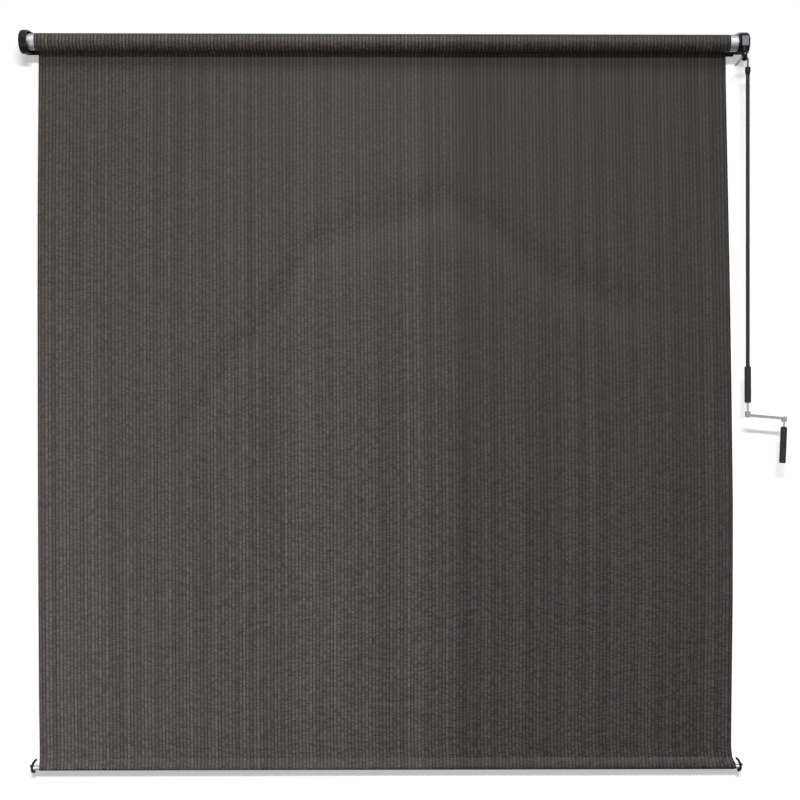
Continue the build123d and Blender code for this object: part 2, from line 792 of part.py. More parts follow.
def hem_pocket():
    """Cloth turned up round the bar and sewn to itself along the seam, its right end spread by the bar."""
    outside = pocket_outline(pocket_radius, seam_thickness / 2, -seam_drop)
    half_inside = seam_thickness / 2 - fabric_thickness
    inside = pocket_outline(pocket_bore, half_inside, -seam_drop - 2 * seam_thickness)
    pocket = along_x(outside - inside, hem_left_x, hem_width)
    right_x = hem_left_x + hem_width
    shape = Polyline(
        (hem_left_x, bar_z - 2 * pocket_radius),
        (right_x, bar_z - 2 * pocket_radius),
        (right_x, bar_z + pocket_radius),
        (fabric_width / 2 + right_edge_drifts[-1], -seam_drop),
        (hem_left_x, -seam_drop),
        close=True,
    )
    return pocket & across_y(make_face(shape), sheet_y, 4 * pocket_radius)


def bottom_bar():
    section = Circle(bar_radius) - Circle(bar_radius - bar_wall)
    return along_x(Pos(sheet_y, bar_z) * section, bar_drift - bar_length / 2, bar_length)


def claw_outline():
    """A cleat's claw about the middle of its long arc: upper arm, lower foot curled in, and round ends."""
    half = cleat_stroke / 2
    upper = cleat_upper_angle
    lower = -cleat_lower_angle
    last = lower - cleat_foot_turn
    foot = Vector(cleat_radius - cleat_foot_radius, 0).rotate(Axis.Z, lower)
    tip = Vector(cleat_radius, 0).rotate(Axis.Z, upper)
    toe = foot + Vector(cleat_foot_radius, 0).rotate(Axis.Z, last)
    edges = [CenterArc(tip, half, upper, 180), CenterArc(toe, half, last + 180, 180)]
    for side in (-half, half):
        edges.append(CenterArc((0, 0), cleat_radius + side, lower, upper - lower))
        edges.append(CenterArc(foot, cleat_foot_radius + side, last, lower - last))
    return make_face(Curve() + edges)


def cleat_cap(side):
    """A moulded claw for the tie-down cord, open towards the shade, on a spigot pressed into the bar."""
    stem_face = bar_length / 2
    claw_x = stem_face + cleat_collar + cleat_stroke / 2
    cap = across_y(Pos(claw_x - cleat_radius, 0) * claw_outline(), 0, cleat_breadth)
    flats = cap.faces().sort_by(Axis.Y)
    cap = fillet(flats[0].edges() + flats[-1].edges(), cleat_round)
    cap += rod_x(bar_radius, stem_face, claw_x - stem_face, 0, 0)
    spigot = bar_radius - bar_wall - press_gap
    cap += rod_x(spigot, stem_face - cleat_spigot, cleat_spigot, 0, 0)
    cap += rod_x(cleat_boss_radius, claw_x, cleat_stroke / 2 + cleat_boss_height, 0, cleat_boss_rise)
    if side < 0:
        cap = mirror(cap, Plane.YZ)
    return Pos(bar_drift, sheet_y, bar_z) * cap


pieces = {
    "left_bracket": left_bracket(),
    "idler_bush": idler_bush(),
    "right_bracket": right_bracket(),
    "drive_bush": drive_bush(),
    "gear_case": gear_case(),
    "gear_case_lid": gear_case_lid(),
    "worm_bush": worm_bush(),
    "gear_cover": gear_cover(),
    "case_screws": case_screws(),
    "hanging_fabric": hanging_fabric(),
    "roller_tube": roller_tube(),
    "fabric_roll": fabric_roll(),
    "fabric_spline": fabric_spline(),
    "idler_plug": idler_plug(),
    "idler_pin": idler_pin(),
    "drive_plug": drive_plug(),
    "drive_shaft": drive_shaft(),
    "worm_wheel": worm_wheel(),
    "worm_shaft": worm_shaft(),
    "crank_eye": crank_eye(),
    "eye_pin": eye_pin(),
    "crank_hook": crank_hook(),
    "hook_ferrule": hook_ferrule(),
    "wand_tube": wand_tube(),
    "upper_grip": upper_grip(),
    "upper_knuckle": upper_knuckle(),
    "upper_rivet": rivet(wand_x, knuckle_z),
    "crank_arm": crank_arm(),
    "lower_knuckle": lower_knuckle(),
    "lower_rivet": rivet(arm_end_x, arm_end_z),
    "lower_grip": lower_grip(),
    "grip_retainer": grip_retainer(),
    "hem_pocket": hem_pocket(),
    "bottom_bar": bottom_bar(),
    "left_cleat_cap": cleat_cap(-1),
    "right_cleat_cap": cleat_cap(1),
}

os.makedirs("parts", exist_ok=True)
for name, shape in pieces.items():
    export_step(shape, f"parts/{name}.step")
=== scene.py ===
import json
import math

import bmesh
import bpy
import numpy as np
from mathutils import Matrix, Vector, noise

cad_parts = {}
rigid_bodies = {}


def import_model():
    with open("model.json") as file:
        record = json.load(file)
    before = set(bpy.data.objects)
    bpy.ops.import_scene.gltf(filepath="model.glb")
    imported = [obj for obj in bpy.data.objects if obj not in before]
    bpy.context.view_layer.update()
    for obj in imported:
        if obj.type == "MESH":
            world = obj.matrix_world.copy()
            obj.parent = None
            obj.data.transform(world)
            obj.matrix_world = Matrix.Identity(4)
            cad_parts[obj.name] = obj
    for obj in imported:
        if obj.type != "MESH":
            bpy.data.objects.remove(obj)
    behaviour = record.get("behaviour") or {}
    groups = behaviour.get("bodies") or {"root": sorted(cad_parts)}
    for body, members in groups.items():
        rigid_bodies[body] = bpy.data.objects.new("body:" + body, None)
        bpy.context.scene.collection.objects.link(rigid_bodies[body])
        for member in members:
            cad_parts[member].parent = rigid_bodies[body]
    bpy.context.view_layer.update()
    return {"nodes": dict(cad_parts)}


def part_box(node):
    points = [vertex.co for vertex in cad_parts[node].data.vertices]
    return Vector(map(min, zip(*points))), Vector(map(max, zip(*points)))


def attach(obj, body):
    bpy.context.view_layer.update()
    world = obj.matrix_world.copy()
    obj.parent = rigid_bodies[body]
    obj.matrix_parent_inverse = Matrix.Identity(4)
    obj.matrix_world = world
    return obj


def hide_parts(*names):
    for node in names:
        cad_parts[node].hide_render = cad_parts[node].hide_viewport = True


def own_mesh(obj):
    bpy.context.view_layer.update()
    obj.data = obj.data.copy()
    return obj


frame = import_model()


# Wall brackets, drive cover, eye, ferrule and bar-end cleats: injection-moulded black ABS with a satin mould
# finish. The brackets are screwed to the wall through flanges that turn in behind the roller, and the cover
# is screwed over the drive case.
def linear(hex_colour):
    """An sRGB hex colour as the linear colour that the shader takes."""
    channels = [int(hex_colour[k:k + 2], 16) / 255 for k in (1, 3, 5)]
    return [c / 12.92 if c <= 0.04045 else ((c + 0.055) / 1.055) ** 2.4 for c in channels] + [1]


def add(tree, kind, settings=None, inputs=None):
    """Adds one node with its own settings, and sets or links its inputs."""
    node = tree.nodes.new("ShaderNode" + kind)
    for name, value in (settings or {}).items():
        setattr(node, name, value)
    for name, value in (inputs or {}).items():
        if isinstance(value, bpy.types.NodeSocket):
            tree.links.new(value, node.inputs[name])
        else:
            node.inputs[name].default_value = value
    return node


def begin(name, **sockets):
    """A new material, its tree and its shader, with plain values set on the shader's own sockets."""
    material = bpy.data.materials.new(name)
    material.use_nodes = True
    tree = material.node_tree
    shader = tree.nodes["Principled BSDF"]
    for socket, value in sockets.items():
        shader.inputs[socket.replace("_", " ")].default_value = value
    return material, tree, shader


def dress(material, *names):
    """Gives CAD pieces a finish."""
    for name in names:
        for slot in frame["nodes"][name].material_slots:
            slot.material = material


# Moulded ABS: a deep black with a soft broad highlight, broken up by the mould's spark-eroded grain.
# The grain is drawn coarser than it is, so that it shows.
moulded_abs, tree, shader = begin(
    "moulded_black_abs", IOR=1.5, Specular_IOR_Level=0.15, Base_Color=linear("#0c0c0d"))
place = add(tree, "TexCoord").outputs["Object"]
grain_mm = 0.7
grain = add(tree, "TexNoise", inputs={"Vector": place, "Scale": 1000 / grain_mm, "Detail": 2.0})
flow_mm = 14.0
flow = add(tree, "TexNoise", inputs={"Vector": place, "Scale": 1000 / flow_mm, "Detail": 3.0})
gloss = add(tree, "MapRange", inputs={"Value": flow.outputs["Fac"], "To Min": 0.32, "To Max": 0.48})
tree.links.new(gloss.outputs["Result"], shader.inputs["Roughness"])
bump = add(tree, "Bump", inputs={"Height": grain.outputs["Fac"], "Strength": 0.12, "Distance": 0.0002})
tree.links.new(bump.outputs["Normal"], shader.inputs["Normal"])
dress(moulded_abs, "left_bracket", "right_bracket", "gear_cover", "gear_case_lid", "worm_bush", "crank_eye",
      "hook_ferrule", "left_cleat_cap", "right_cleat_cap")

# Drive case: a zinc die casting with a grey coat, closed by a black lid on the roller's side and held by
# three zinc-plated screws. Its flat nose shows in the cover's window.

# A mix of two colours has its share, its colours and its result on these sockets.
mix_share, mix_first, mix_second, mix_result = 0, 6, 7, 2

# Coated casting: a cool mid grey with a dull shine, finely pebbled as sprayed coats on castings are.
coated_casting, tree, shader = begin("grey_coated_casting", IOR=1.5)
place = add(tree, "TexCoord").outputs["Object"]
speckle_mm = 1.2
speckle = add(tree, "TexNoise", inputs={"Vector": place, "Scale": 1000 / speckle_mm, "Detail": 3.0})
tone = add(tree, "Mix", {"data_type": "RGBA"}, {
    mix_share: speckle.outputs["Fac"], mix_first: linear("#54535d"), mix_second: linear("#66656f")})
tree.links.new(tone.outputs[mix_result], shader.inputs["Base Color"])
gloss = add(tree, "MapRange", inputs={"Value": speckle.outputs["Fac"], "To Min": 0.34, "To Max": 0.5})
tree.links.new(gloss.outputs["Result"], shader.inputs["Roughness"])
bump = add(tree, "Bump", inputs={"Height": speckle.outputs["Fac"], "Strength": 0.15, "Distance": 0.0002})
tree.links.new(bump.outputs["Normal"], shader.inputs["Normal"])
dress(coated_casting, "gear_case")

# Bushes, plugs and spline: moulded acetal and nylon that run or sit inside the tube and the brackets,
# pressed in and hidden once the shade is put together.

# Natural acetal: a warm milky white, faintly clouded.
natural_acetal, tree, shader = begin("natural_acetal", IOR=1.48, Roughness=0.4)
place = add(tree, "TexCoord").outputs["Object"]
cloud_mm = 9.0
cloud = add(tree, "TexNoise", inputs={"Vector": place, "Scale": 1000 / cloud_mm})
tone = add(tree, "Mix", {"data_type": "RGBA"}, {
    mix_share: cloud.outputs["Fac"], mix_first: linear("#dedbd2"), mix_second: linear("#eceae4")})
tree.links.new(tone.outputs[mix_result], shader.inputs["Base Color"])
dress(natural_acetal, "idler_bush", "drive_bush", "fabric_spline")

# Filled nylon: a dull grey, clouded where the filler gathers.
filled_nylon, tree, shader = begin("filled_grey_nylon", IOR=1.53, Roughness=0.48)
place = add(tree, "TexCoord").outputs["Object"]
cloud = add(tree, "TexNoise", inputs={"Vector": place, "Scale": 1000 / cloud_mm})
tone = add(tree, "Mix", {"data_type": "RGBA"}, {
    mix_share: cloud.outputs["Fac"], mix_first: linear("#55565a"), mix_second: linear("#65666a")})
tree.links.new(tone.outputs[mix_result], shader.inputs["Base Color"])
dress(filled_nylon, "idler_plug", "drive_plug")

# Roller tube and bottom bar: drawn aluminium tubes in mill finish, bare where the cloth stops short of the
# ends. The tube turns with the two plugs in its ends, and the bar lies in the hem.

# Drawn aluminium: a pale grey metal whose fine lines along the tube stretch the highlight round it.
# The lines are drawn coarser than they are, so that they show.
drawn_aluminium, tree, shader = begin("drawn_aluminium", Metallic=1.0, Base_Color=linear("#a6a7aa"))
place = add(tree, "TexCoord").outputs["Object"]
line_mm, line_length_mm = 0.8, 160.0
stretch = add(tree, "Mapping", inputs={
    "Vector": place, "Scale": (1000 / line_length_mm, 1000 / line_mm, 1000 / line_mm)})
lines = add(tree, "TexNoise", inputs={"Vector": stretch.outputs["Vector"], "Scale": 1.0, "Detail": 3.0})
gloss = add(tree, "MapRange", inputs={"Value": lines.outputs["Fac"], "To Min": 0.46, "To Max": 0.62})
tree.links.new(gloss.outputs["Result"], shader.inputs["Roughness"])
bump = add(tree, "Bump", inputs={"Height": lines.outputs["Fac"], "Strength": 0.2, "Distance": 0.0001})
tree.links.new(bump.outputs["Normal"], shader.inputs["Normal"])
dress(drawn_aluminium, "roller_tube", "bottom_bar")

# Pins, shafts, screws, knuckles, rivets and crank arm: zinc-plated steel, turned, pressed or forged.
# The rivets hold the crank's two folding knuckles together.

# Zinc-plated steel: a bright grey metal, clouded in light and dark where the zinc's crystals lie.
plated_steel, tree, shader = begin("zinc_plated_steel", Metallic=1.0)
place = add(tree, "TexCoord").outputs["Object"]
spangle_mm = 3.0
spangle = add(tree, "TexNoise", inputs={"Vector": place, "Scale": 1000 / spangle_mm, "Detail": 4.0})
tone = add(tree, "Mix", {"data_type": "RGBA"}, {
    mix_share: spangle.outputs["Fac"], mix_first: linear("#8d8e91"), mix_second: linear("#b3b4b7")})
tree.links.new(tone.outputs[mix_result], shader.inputs["Base Color"])
gloss = add(tree, "MapRange", inputs={"Value": spangle.outputs["Fac"], "To Min": 0.28, "To Max": 0.46})
tree.links.new(gloss.outputs["Result"], shader.inputs["Roughness"])
dress(plated_steel, "idler_pin", "drive_shaft", "worm_shaft", "eye_pin", "case_screws", "upper_knuckle",
      "upper_rivet", "crank_arm", "lower_knuckle", "lower_rivet", "grip_retainer")

# Worm wheel: fourteen teeth cut in a brass blank, which sits on the square drive shaft and runs in grease
# inside the drive case.

# Cut brass: a warm yellow metal, brighter and darker in patches where the grease lies.
cut_brass, tree, shader = begin("cut_brass", Metallic=1.0)
place = add(tree, "TexCoord").outputs["Object"]
grease_mm = 3.0
grease = add(tree, "TexNoise", inputs={"Vector": place, "Scale": 1000 / grease_mm, "Detail": 2.0})
tone = add(tree, "Mix", {"data_type": "RGBA"}, {
    mix_share: grease.outputs["Fac"], mix_first: linear("#b08d46"), mix_second: linear("#cfae66")})
tree.links.new(tone.outputs[mix_result], shader.inputs["Base Color"])
gloss = add(tree, "MapRange", inputs={"Value": grease.outputs["Fac"], "To Min": 0.22, "To Max": 0.36})
tree.links.new(gloss.outputs["Result"], shader.inputs["Roughness"])
dress(cut_brass, "worm_wheel")

# Shade cloth on the roll: one length of dark knitted polyethylene, with raised columns of loops and thin
# valleys between. Two turns stay on the tube, the rest hangs from the back of the roll, and its end is sewn
# round the bar.
columns = 198
column_height = 0.00045
yarn = 0.0004
cloth_loop_mm = 3.1


def column_rise(across):
    """How far the cloth stands out at a share of its width: round ridges with narrow valleys between."""
    phase = (across * columns) % 1
    return column_height * math.sin(math.pi * phase) ** 0.7


def cloth_grid(name, points, rows, shape):
    """A grid of cloth, its columns along the grid's Y, shaped by a function of the shares across and down."""
    bm = bmesh.new()
    bm.loops.layers.uv.new("cloth")
    bmesh.ops.create_grid(bm, x_segments=columns * points, y_segments=rows, size=0.5, calc_uvs=True)
    for vertex in bm.verts:
        vertex.co = shape(vertex.co.x + 0.5, 0.5 - vertex.co.y)
    for face in bm.faces:
        face.smooth = True
    for edge in bm.edges:
        edge.smooth = not edge.is_boundary
    mesh = bpy.data.meshes.new(name)
    bm.to_mesh(mesh)
    bm.free()
    piece = bpy.data.objects.new(name, mesh)
    bpy.context.collection.objects.link(piece)
    solid = piece.modifiers.new("yarn", "SOLIDIFY")
    solid.thickness = yarn
    solid.offset = -1
    return piece


def knit(name, length, valley, crest):
    """Knitted polyethylene for a piece of that length, laid out on the piece's own UV map.

    A matt dark grey-brown with a faint sheen: ridges painted as lit, valleys painted dark, and flecks from
    loop to loop."""
    material, tree, shader = begin(
        name, IOR=1.5, Specular_IOR_Level=0.2, Sheen_Weight=0.02, Sheen_Roughness=0.5)

    # Where a point lies: how far off the middle of which column, and in which of its loops. The loops bow
    # down beside the middle, and each column's start at a height of their own.
    spot = add(tree, "UVMap", {"uv_map": "cloth"}).outputs["UV"]
    parts = add(tree, "SeparateXYZ", inputs={"Vector": spot})
    column = add(tree, "Math", {"operation": "MULTIPLY"}, {0: parts.outputs["X"], 1: columns})
    phase = add(tree, "Math", {"operation": "FRACT"}, {0: column.outputs[0]})
    centred = add(tree, "Math", {"operation": "SUBTRACT"}, {0: phase.outputs[0], 1: 0.5})
    off = add(tree, "Math", {"operation": "ABSOLUTE"}, {0: centred.outputs[0]})
    rank = add(tree, "Math", {"operation": "FLOOR"}, {0: column.outputs[0]})
    yarn_lot = add(tree, "TexWhiteNoise", {"noise_dimensions": "1D"}, {"W": rank.outputs[0]})
    start = add(tree, "Math", {"operation": "ADD"}, {0: off.outputs[0], 1: yarn_lot.outputs["Value"]})
    loops = add(tree, "Math", {"operation": "MULTIPLY_ADD"}, {
        0: parts.outputs["Y"], 1: 1000 * length / cloth_loop_mm, 2: start.outputs[0]})
    loop_phase = add(tree, "Math", {"operation": "FRACT"}, {0: loops.outputs[0]})
    bow = add(tree, "Math", {"operation": "PINGPONG"}, {0: loop_phase.outputs[0], 1: 0.5})

    # Height: a round ridge for each column, notched where one loop pulls through the next.
    ridge = add(tree, "MapRange", {"interpolation_type": "SMOOTHSTEP"}, {
        "Value": off.outputs[0], "From Min": 0.43, "From Max": 0.12})
    loop_top = add(tree, "MapRange", {"interpolation_type": "SMOOTHSTEP"}, {
        "Value": bow.outputs[0], "From Min": 0.02, "From Max": 0.3, "To Min": 0.78, "To Max": 1.0})
    raised = add(tree, "Math", {"operation": "MULTIPLY"}, {
        0: ridge.outputs["Result"], 1: loop_top.outputs["Result"]})

    # Lightness of the yarn: flecks from loop to loop, dye from column to column, and slack stretches along
    # a column.
    row = add(tree, "Math", {"operation": "FLOOR"}, {0: loops.outputs[0]})
    cell = add(tree, "CombineXYZ", inputs={"X": rank.outputs[0], "Y": row.outputs[0]})
    chance = add(tree, "TexWhiteNoise", {"noise_dimensions": "2D"}, {"Vector": cell.outputs["Vector"]})
    fleck = add(tree, "MapRange", inputs={"Value": chance.outputs["Value"], "To Min": 0.66, "To Max": 1.34})
    dye = add(tree, "MapRange", inputs={"Value": yarn_lot.outputs["Value"], "To Min": 0.82, "To Max": 1.18})
    stretch_mm = 520.0
    stretch = add(tree, "Math", {"operation": "MULTIPLY"}, {
        0: parts.outputs["Y"], 1: 1000 * length / stretch_mm})
    along = add(tree, "CombineXYZ", inputs={"X": column.outputs[0], "Y": stretch.outputs[0]})
    tension = add(tree, "TexNoise", inputs={"Vector": along.outputs["Vector"], "Scale": 0.45, "Detail": 2.0})
    slack = add(tree, "MapRange", inputs={
        "Value": tension.outputs["Fac"], "From Min": 0.3, "From Max": 0.7, "To Min": 0.88, "To Max": 1.12})

    # Lightness over the whole cloth: painted shade darkens it in a step right of the middle, and painted
    # light
    #     # makes the left lighter than the right and the lower part lighter than the upper. The cut edges are
    #     dark.
    place = add(tree, "TexCoord").outputs["Object"]
    across = add(tree, "SeparateXYZ", inputs={"Vector": place})
    # Painted shade: the cloth right of the middle is darker in a step.
    painted_shade_step = add(tree, "MapRange", {"interpolation_type": "SMOOTHSTEP"}, {
        "Value": across.outputs["X"], "From Min": 0.1, "From Max": 0.24, "To Min": 1.0, "To Max": 0.74})
    # Painted light: the left side lighter, the right side darker.
    painted_light_across = add(tree, "MapRange", inputs={
        "Value": across.outputs["X"], "From Min": -0.9, "From Max": 0.9, "To Min": 0.99, "To Max": 0.79})
    # Painted light: the upper part darker, the lower part lighter.
    painted_light_down = add(tree, "MapRange", inputs={
        "Value": across.outputs["Z"], "From Min": -0.1, "From Max": -1.7, "To Min": 0.88, "To Max": 1.25})
    from_edge = add(tree, "Math", {"operation": "PINGPONG"}, {0: column.outputs[0], 1: columns / 2})
    cut = add(tree, "MapRange", inputs={
        "Value": from_edge.outputs[0], "From Min": 0.2, "From Max": 0.5, "To Min": 0.4})
    level = cut.outputs["Result"]
    for factor in (fleck, dye, slack, painted_shade_step, painted_light_across, painted_light_down):
        product = add(tree, "Math", {"operation": "MULTIPLY"}, {0: level, 1: factor.outputs["Result"]})
        level = product.outputs[0]
    # The crests take painted light and the valleys painted shade; part of the valleys' dark is the open
    # knit's own.
    ground = add(tree, "Mix", {"data_type": "RGBA"}, {
        mix_share: raised.outputs[0], mix_first: linear(valley), mix_second: linear(crest)})
    tone = add(tree, "VectorMath", {"operation": "SCALE"}, {0: ground.outputs[mix_result], "Scale": level})

    # Tint: soft patches of warmer and cooler cloth, cooler towards the bottom.
    patch_mm = 85.0
    patch = add(tree, "TexNoise", inputs={"Vector": place, "Scale": 1000 / patch_mm, "Detail": 3.0})
    cooling = add(tree, "Math", {"operation": "MULTIPLY_ADD"}, {
        0: across.outputs["Z"], 1: -0.25, 2: patch.outputs["Fac"]})
    cool = add(tree, "MapRange", inputs={"Value": cooling.outputs[0], "From Min": 0.35, "From Max": 1.0})
    tint = add(tree, "Mix", {"data_type": "RGBA"}, {
        mix_share: cool.outputs["Result"], mix_first: linear("#fffff0"), mix_second: linear("#fcffff")})
    tinted = add(tree, "VectorMath", {"operation": "MULTIPLY"}, {
        0: tone.outputs["Vector"], 1: tint.outputs[mix_result]})
    tree.links.new(tinted.outputs["Vector"], shader.inputs["Base Color"])
    gloss = add(tree, "MapRange", inputs={"Value": chance.outputs["Value"], "To Min": 0.5, "To Max": 0.68})
    tree.links.new(gloss.outputs["Result"], shader.inputs["Roughness"])
    bump = add(tree, "Bump", inputs={"Height": raised.outputs[0], "Strength": 0.5, "Distance": 0.0004})
    tree.links.new(bump.outputs["Normal"], shader.inputs["Normal"])
    return material


axis_y = -0.052
tube_radius = 0.021
layer = 0.00075
turns = 2
roll_clearance = 0.00005
mean_roll_radius = 0.0225
roll_low, roll_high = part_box("fabric_roll")


def wound(across, along):
    """The two turns left on the tube, from the end that leaves the roll's back to the start in the groove."""
    turn = 2 * math.pi * turns * along
    outside = tube_radius + layer * (turns + 1 - turns * along)
    radius = outside - column_height - roll_clearance + column_rise(across)
    x = roll_low.x + across * (roll_high.x - roll_low.x)
    return x, axis_y + radius * math.cos(turn), radius * math.sin(turn)


roll_length = turns * 2 * math.pi * mean_roll_radius
cloth_roll = cloth_grid("cloth_roll", points=3, rows=72, shape=wound)
# Its crests are painted lighter and its valleys darker than the hanging cloth's: painted light and shade on
# the roll's curve.
cloth_roll.data.materials.append(
    knit("knitted_cloth_on_roll", roll_length, valley="#211d1d", crest="#4b4542"))
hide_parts("fabric_roll")
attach(cloth_roll, "roller")

# Hanging part of the cloth: the same knit, held by the roll above and the bar below. It hangs flat, with
# edges that wander a little as cut cloth does, and a faint crease from the carton that runs up to a point and
# down again.
seam_z = -1.88
sheet_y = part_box("hanging_fabric")[0].y + column_height
drop_shares = (0.0, 0.05, 0.22, 0.36, 0.5, 0.64, 0.78, 0.92, 0.985, 1.0)
left_edge = (-0.907, -0.9077, -0.9101, -0.9106, -0.9101, -0.9094, -0.9081, -0.9064, -0.9046, -0.9044)
right_edge = (0.9057, 0.906, 0.9126, 0.9178, 0.9217, 0.9249, 0.9245, 0.9212, 0.9202, 0.9234)
held_share = 0.1
wave_depth, waves_across, waves_down = 0.0022, 1.6, 0.7
crease_x = (-0.56, -0.45, -0.31, -0.19, -0.11, 0.05, 0.16, 0.3, 0.45, 0.67)
crease_z = (-1.08, -0.895, -0.733, -0.54, -0.495, -0.455, -0.42, -0.49, -0.625, -0.685)
crease_depth, crease_width = 0.0048, 0.055
crease_wander, wanders_across, wander_slice = 0.016, 9, 4.0
crease_middle, crease_reach, crease_run_out = 0.05, 0.55, 0.2


def hanging(across, along):
    """Where the hanging cloth lies: straight columns between its edges, with shallow waves and a crease."""
    left = np.interp(along, drop_shares, left_edge)
    right = np.interp(along, drop_shares, right_edge)
    x = left + across * (right - left)
    z = along * seam_z
    free_above = math.sin(math.pi * min(along / held_share, 1) / 2)
    free_below = math.sin(math.pi * min((1 - along) / held_share, 1) / 2)
    wave = noise.noise(Vector((x * waves_across, 0.0, z * waves_down))) * wave_depth
    wander = crease_wander * noise.noise(Vector((x * wanders_across, wander_slice, 0.0)))
    off_crease = (z - np.interp(x, crease_x, crease_z) + wander) / crease_width
    fade = max(0, 1 - max(0, abs(x - crease_middle) - crease_reach) / crease_run_out)
    wave += crease_depth * fade * math.exp(-off_crease ** 2)
    return x, sheet_y + free_above * free_below * wave - column_rise(across), z


hanging_cloth = cloth_grid("hanging_cloth", points=3, rows=80, shape=hanging)
hanging_cloth.data.materials.append(
    knit("knitted_cloth_hanging", -seam_z, valley="#242121", crest="#403b3a"))
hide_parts("hanging_fabric")
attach(hanging_cloth, "mount")
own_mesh(hanging_cloth)

# Hem: the cloth's end turned up round the bottom bar and sewn to itself, puckered along the seam. Towards the
# right end the puckers are deeper, the front stands off the bar, and the bar spreads the last columns.
hem_low, hem_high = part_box("hem_pocket")
bar_low, bar_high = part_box("bottom_bar")
bar_middle = Vector((0, (bar_low.y + bar_high.y) / 2, (bar_low.z + bar_high.z) / 2))
seam_rise = seam_z - bar_middle.z
loop_radius = (hem_high.y - hem_low.y) / 2
seam_half = 0.0012
spread_share = 0.06
pucker_reach, pucker_depth, pucker_growth = 0.018, 0.0006, 0.0034
puckers_across, puckers_down, pucker_slice = 80, 3, 2.0
puff_depth, puff_start = 0.0026, 0.5


def hem_loop(along):
    """The pocket's outline at a share of its way: down the front, round the bar and up the back."""
    reach = math.hypot(seam_rise, seam_half)
    lean = math.atan2(seam_half, seam_rise) + math.acos(min(1, loop_radius / reach))
    straight = math.sqrt(reach ** 2 - loop_radius ** 2)
    bend = 2 * (math.pi - lean)
    whole = 2 * straight + bend * loop_radius
    way = along * whole
    if straight < way < whole - straight:
        turn = lean + (way - straight) / loop_radius
        out_y, out_z = -math.sin(turn), math.cos(turn)
        return loop_radius * out_y, loop_radius * out_z, out_y, out_z, whole
    side = -1 if way <= straight else 1
    share = way / straight if side < 0 else (whole - way) / straight
    touch_y, touch_z = side * loop_radius * math.sin(lean), loop_radius * math.cos(lean)
    y = side * seam_half + share * (touch_y - side * seam_half)
    z = seam_rise + share * (touch_z - seam_rise)
    return y, z, side * math.sin(lean), math.cos(lean), whole


def hem(across, along):
    """A point of the hem: columns that hang on from the sheet's, spread by the bar at the right end."""
    y, z, out_y, out_z, whole = hem_loop(along)
    below_seam = seam_rise - z
    to_end = max(0, 1 - (1 - across) / spread_share) ** 2
    spread = (hem_high.x - right_edge[-1]) * min(1, below_seam / (seam_rise - loop_radius)) * to_end
    x = left_edge[-1] + across * (right_edge[-1] - left_edge[-1]) + spread
    near_seam = max(0, 1 - min(along, 1 - along) * whole / pucker_reach)
    gather = noise.noise(Vector((x * puckers_across, along * puckers_down, pucker_slice)))
    pucker = near_seam * (pucker_depth + pucker_growth * across ** 2) * gather
    puff = 0
    if along < 0.5:
        drop = below_seam / (seam_rise + loop_radius)
        puff = puff_depth * max(0, across - puff_start) / (1 - puff_start) * math.sin(math.pi * drop)
    out = column_rise(across) - column_height + pucker + puff
    return x, bar_middle.y + y + out * out_y, bar_middle.z + z + out * out_z


hem_cloth = cloth_grid("hem_cloth", points=4, rows=26, shape=hem)
hem_length = hem_loop(0)[-1]
hem_cloth.data.materials.append(
    knit("knitted_cloth_hem", hem_length, valley="#232020", crest="#3d3837"))
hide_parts("hem_pocket")
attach(hem_cloth, "hem")

# Crank hook: a steel rod bent to an open hook and chromed, which hangs in the eye by its bight and is pressed
# into the ferrule at its lower end.

# Chromed steel: a dark mirror with small bright lights, a little hazed by the polish.
chromed_steel, tree, shader = begin("chromed_steel", Metallic=1.0, Base_Color=linear("#505155"))
place = add(tree, "TexCoord").outputs["Object"]
polish_mm = 5.0
polish = add(tree, "TexNoise", inputs={"Vector": place, "Scale": 1000 / polish_mm, "Detail": 2.0})
gloss = add(tree, "MapRange", inputs={"Value": polish.outputs["Fac"], "To Min": 0.28, "To Max": 0.4})
tree.links.new(gloss.outputs["Result"], shader.inputs["Roughness"])
dress(chromed_steel, "crank_hook")

# Wand tube: a thin steel tube with a dark powder coat, which hangs from the ferrule and carries the upper
# grip and the crank's first knuckle.

# Powder coat: a dark grey with a broad weak highlight, finely pebbled. The pebbles are drawn coarser than
# they are, so that they show.
powder_coat, tree, shader = begin("dark_powder_coat", IOR=1.5, Specular_IOR_Level=0.25)
place = add(tree, "TexCoord").outputs["Object"]
powder_mm = 0.9
powder = add(tree, "TexNoise", inputs={"Vector": place, "Scale": 1000 / powder_mm, "Detail": 2.0})
tone = add(tree, "Mix", {"data_type": "RGBA"}, {
    mix_share: powder.outputs["Fac"], mix_first: linear("#131416"), mix_second: linear("#1a1b1d")})
tree.links.new(tone.outputs[mix_result], shader.inputs["Base Color"])
gloss = add(tree, "MapRange", inputs={"Value": powder.outputs["Fac"], "To Min": 0.42, "To Max": 0.56})
tree.links.new(gloss.outputs["Result"], shader.inputs["Roughness"])
bump = add(tree, "Bump", inputs={"Height": powder.outputs["Fac"], "Strength": 0.2, "Distance": 0.0002})
tree.links.new(bump.outputs["Normal"], shader.inputs["Normal"])
dress(powder_coat, "wand_tube")

# Grips: moulded PVC sleeves that turn freely, the upper one on the wand and the lower one on the crank's
# handle, where a push-on washer keeps it.

